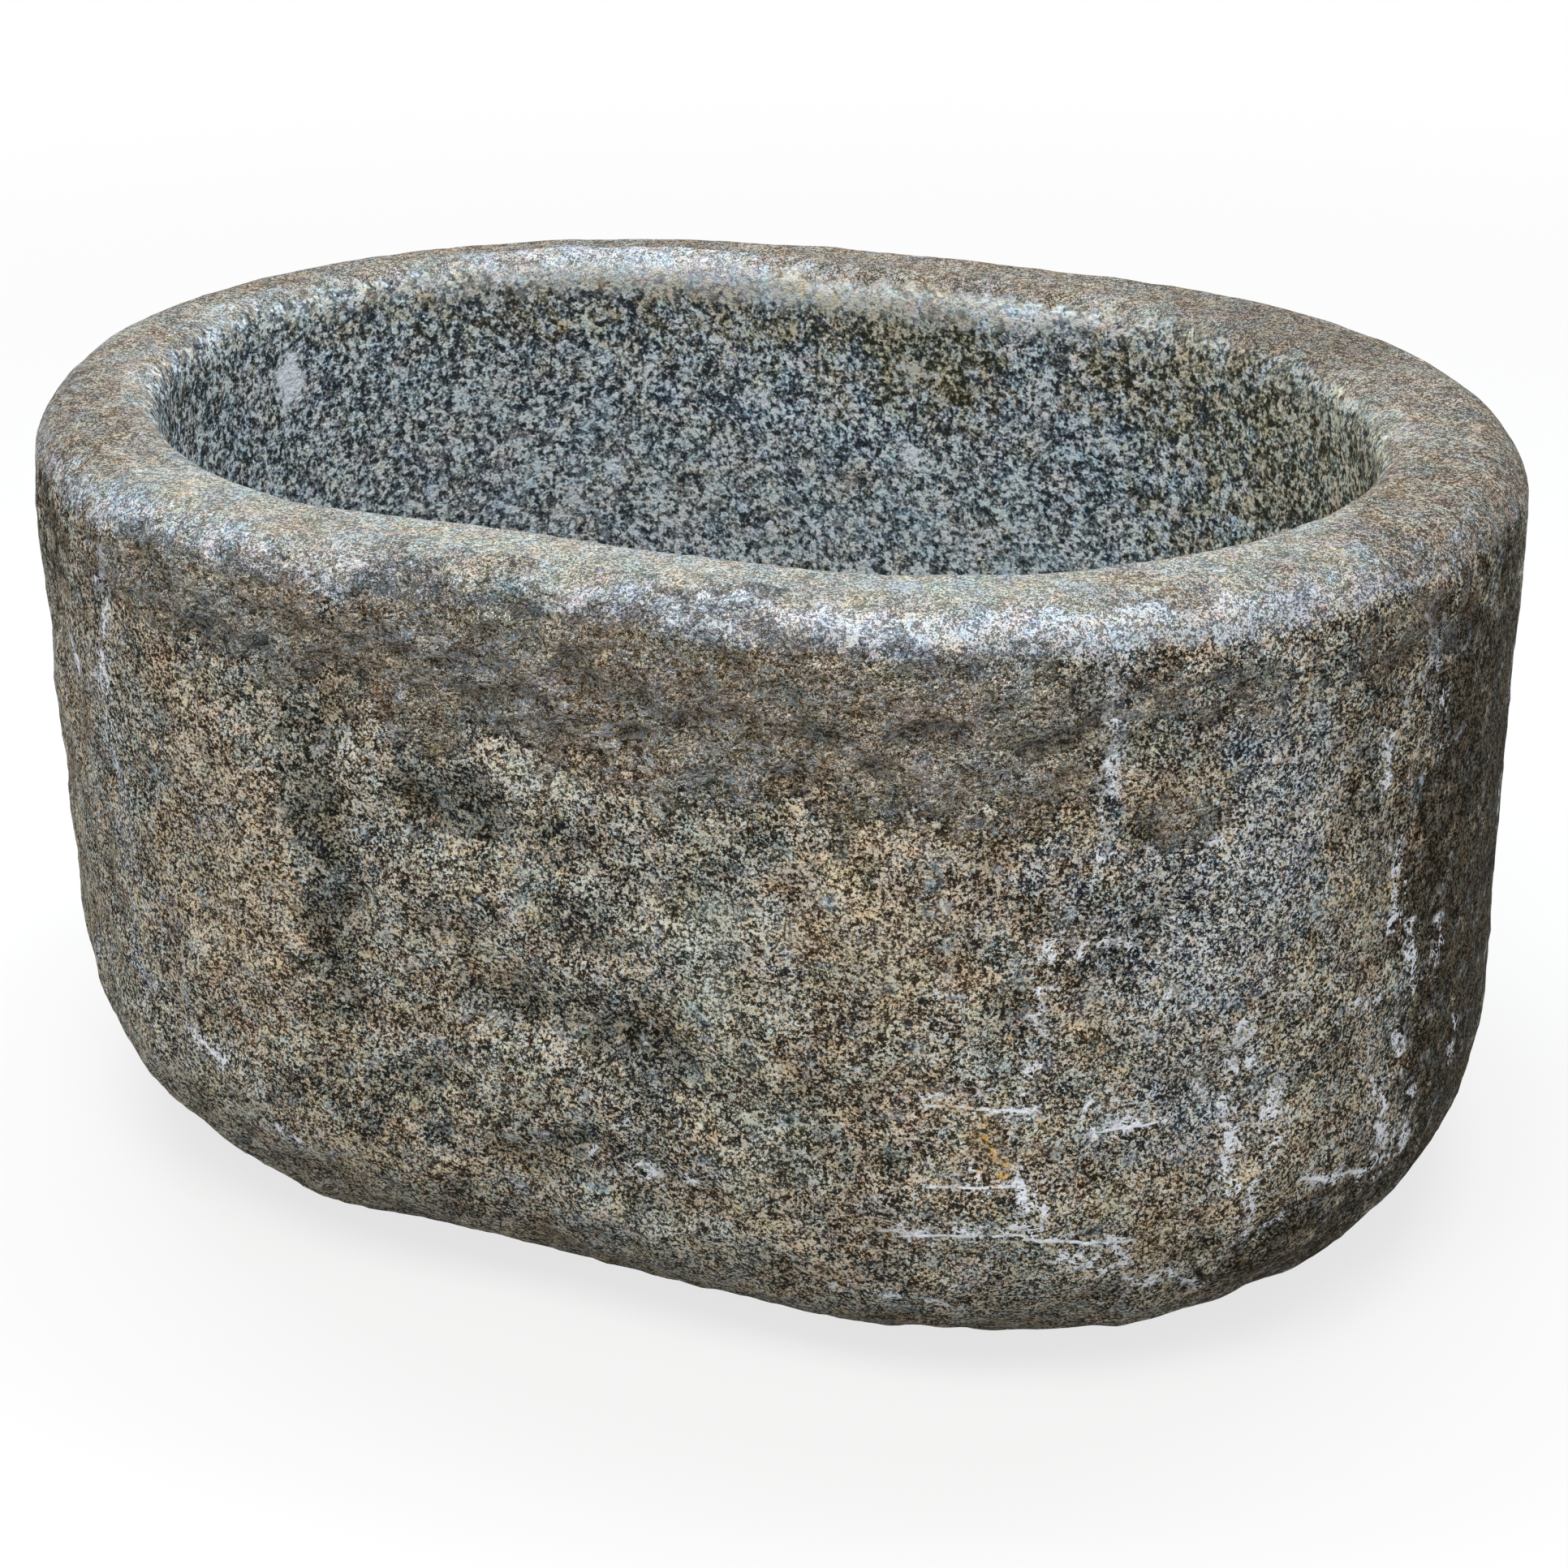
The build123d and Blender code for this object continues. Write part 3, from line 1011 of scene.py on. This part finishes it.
def weathered_granite():
    """Patina outside, a worn rim and clean dressed stone in the hollow, with painted sheen, glints and
    shade.
    """
    finish, tree, shader = new_finish("weathered_granite")
    outer_grains = place_group(tree, granite_grains, {"Grain Size": 0.0018, "Contrast": 1.2})
    grain_tone = outer_grains["Tone"]
    fleck_shift = centred(tree, outer_grains["Flecks"])
    place = block_place(tree)
    clouds = noise_at(tree, place, 0.10, 4.0, 0.6)
    mottle = noise_at(tree, place, 0.026, 4.0, 0.65, 0.4)

    stained = stained_colour(tree, outer_grains, clouds, mottle)
    stained, flake_height = flaked_colour(tree, stained, outer_grains, fleck_shift, clouds)
    scratched = place_group(tree, tool_scratches, {"Mask": painted(tree, "clean")})["Scratch"]
    stained = blend(tree, times(tree, scratched, 0.5), stained, scratch_grey)
    rim_tone = times_plus(tree, fleck_shift, 1.3, 0.16)
    rim_tone = times_plus(tree, grain_tone, 0.65, rim_tone)
    rim_tone = times_plus(tree, centred(tree, mottle), 0.5, rim_tone)
    patina = ragged_map(tree, "patina", 0.014, 1.0)
    stone = blend(tree, patina, hollow_colour(tree), stained)
    rim_top = ragged_map(tree, "rim_top", 0.014, 0.9)
    stone = blend(tree, rim_top, stone, rim_colour(tree, rim_tone, clouds))
    # Painted sheen: a pale bluish painted reflection on the worn edges, which are glossier too
    gloss_and_painted_sheen = ragged_map(tree, "gloss_and_painted_sheen", 0.008, 0.7)
    gloss_and_painted_sheen = times(tree, gloss_and_painted_sheen, ramp(tree, grain_tone, 0.0, 0.3, 0.55, 1.0))
    stone = blend(tree, times(tree, gloss_and_painted_sheen, 0.8), stone, speckled(tree, rim_tone, "pale_wear_and_painted_sheen"))
    tint_values = {"Colour": stone, "Tint Size": 0.005, "Warmth": 0.21}
    stone = marked_colour(tree, place_group(tree, stray_tints, tint_values)["Colour"])

    pits = noise_at(tree, place, 0.0030, 3.0, 0.65)
    pits = times(tree, pits, ramp(tree, gloss_and_painted_sheen, 0.0, 1.0, 1.0, 0.3))
    feed_shader(tree, shader, {
        "Base Color": stone,
        "Roughness": ramp(tree, gloss_and_painted_sheen, 0.0, 1.0, 0.75, 0.55),
        "Coat Weight": times(tree, gloss_and_painted_sheen, 0.4),
        "Coat Roughness": 0.38,
        "Specular IOR Level": 0.03,
        "Normal": add_bump(tree, times_plus(tree, flake_height, 1.6, pits), 0.0028, 1.0),
    })
    return finish


def raw_granite():
    """Plain sawn and bored stone, under the sole and in the drain."""
    finish, tree, shader = new_finish("raw_granite")
    parts = place_group(tree, granite_grains, {"Grain Size": 0.0042, "Contrast": 0.9})
    feed_shader(tree, shader, {
        "Base Color": speckled(tree, parts["Tone"], "raw"),
        "Roughness": ramp(tree, parts["Flecks"], 0.3, 0.7, 0.7, 0.9),
        "Normal": add_bump(tree, parts["Flecks"], 0.0012, 0.8),
    })
    return finish


mesh = block_mesh()
lay_flat(mesh)
paint_wear(mesh)
paint_stains(mesh)
paint_shade(mesh)
mesh.materials.append(weathered_granite())
mesh.materials.append(raw_granite())
face_finish = np.repeat(np.isin(zones, ("sole", "drain")).astype(np.int32), columns)
mesh.polygons.foreach_set("material_index", face_finish)
block = bpy.data.objects.new("granite_block", mesh)
bpy.context.scene.collection.objects.link(block)
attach(block, "root")
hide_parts("stone_trough")


# Studio: pale floor, soft light and the photograph's viewpoint

def make_floor():
    mesh = bpy.data.meshes.new("studio_floor")
    reach = 12.0
    corners = [(-reach, -reach, 0), (reach, -reach, 0), (reach, reach, 0), (-reach, reach, 0)]
    mesh.from_pydata(corners, [], [(0, 1, 2, 3)])
    floor = bpy.data.objects.new("studio_floor", mesh)
    bpy.context.scene.collection.objects.link(floor)
    paper, tree, shader = new_finish("studio_paper")
    rays = add_node(tree, "ShaderNodeLightPath").outputs
    seen = maths(tree, "MAXIMUM", rays["Is Camera Ray"], rays["Is Glossy Ray"])
    seen = maths(tree, "MAXIMUM", seen, rays["Is Transmission Ray"])
    paper_colour = blend(tree, seen, (0.45, 0.45, 0.45), (0.62, 0.62, 0.62))
    paper_values = {"Base Color": paper_colour, "Roughness": 0.9, "Specular IOR Level": 0.0}
    feed_shader(tree, shader, paper_values)
    glow = add_node(tree, "ShaderNodeEmission", {"Color": (1, 1, 1, 1), "Strength": 1.0})
    place = add_node(tree, "ShaderNodeTexCoord").outputs["Object"]
    away = add_node(tree, "ShaderNodeVectorMath", {0: place}, operation="LENGTH").outputs["Value"]
    fade = times(tree, seen, ramp(tree, away, 0.8, 3.0, 0.75, 1.0))
    paper_mix = add_node(tree, "ShaderNodeMixShader", {"Fac": fade})
    tree.links.new(shader.outputs[0], paper_mix.inputs[1])
    tree.links.new(glow.outputs[0], paper_mix.inputs[2])
    tree.links.new(paper_mix.outputs[0], tree.nodes["Material Output"].inputs["Surface"])
    mesh.materials.append(paper)


def make_lights():
    world = bpy.data.worlds.new("studio_air")
    bpy.context.scene.world = world
    world.use_nodes = True
    tree = world.node_tree
    rays = add_node(tree, "ShaderNodeLightPath").outputs
    strength = ramp(tree, rays["Is Camera Ray"], 0.0, 1.0, 0.5, 1.0, smoothly=False)
    tree.nodes["Background"].inputs["Color"].default_value = (1, 1, 1, 1)
    tree.links.new(strength, tree.nodes["Background"].inputs["Strength"])
    # name, place, width, depth, power and colour of each soft panel
    panels = (
        ("front_panel", (0.2, -1.6, 2.9), 2.0, 1.2, 78.0, (1.0, 0.99, 0.97)),
        ("overhead_panel", (-0.2, 0.6, 2.7), 3.0, 0.8, 85.0, (0.93, 0.97, 1.0)),
    )
    for name, place, width, depth, power, tint in panels:
        panel = bpy.data.lights.new(name, "AREA")
        panel.shape = "RECTANGLE"
        panel.size = width
        panel.size_y = depth
        panel.energy = power
        panel.color = tint
        lamp = bpy.data.objects.new(name, panel)
        lamp.location = place
        towards = Vector((0, 0, height)) - lamp.location
        lamp.rotation_euler = towards.to_track_quat("-Z", "Y").to_euler()
        bpy.context.scene.collection.objects.link(lamp)


def make_camera():
    azimuth, elevation, roll = (math.radians(degrees) for degrees in (20.24, 24.98, -0.714))
    distance, aim = 2.1003, Vector((0.0160, -0.0101, 0.2215))
    focal_share = 4127.5 / 1932
    level_back = Vector((math.sin(azimuth), -math.cos(azimuth), 0))
    back = level_back * math.cos(elevation) + Vector((0, 0, math.sin(elevation)))
    right = Vector((math.cos(azimuth), math.sin(azimuth), 0))
    up = back.cross(right)
    turned_right = right * math.cos(roll) + up * math.sin(roll)
    turned_up = up * math.cos(roll) - right * math.sin(roll)
    data = bpy.data.cameras.new("photo_viewpoint")
    data.sensor_width = 36.0
    data.lens = focal_share * data.sensor_width
    camera = bpy.data.objects.new("photo_viewpoint", data)
    bpy.context.scene.collection.objects.link(camera)
    turn = Matrix((turned_right, turned_up, back)).transposed()
    camera.matrix_world = Matrix.Translation(aim + back * distance) @ turn.to_4x4()
    bpy.context.scene.camera = camera


make_floor()
make_lights()
make_camera()
bpy.context.scene.view_settings.view_transform = "Standard"
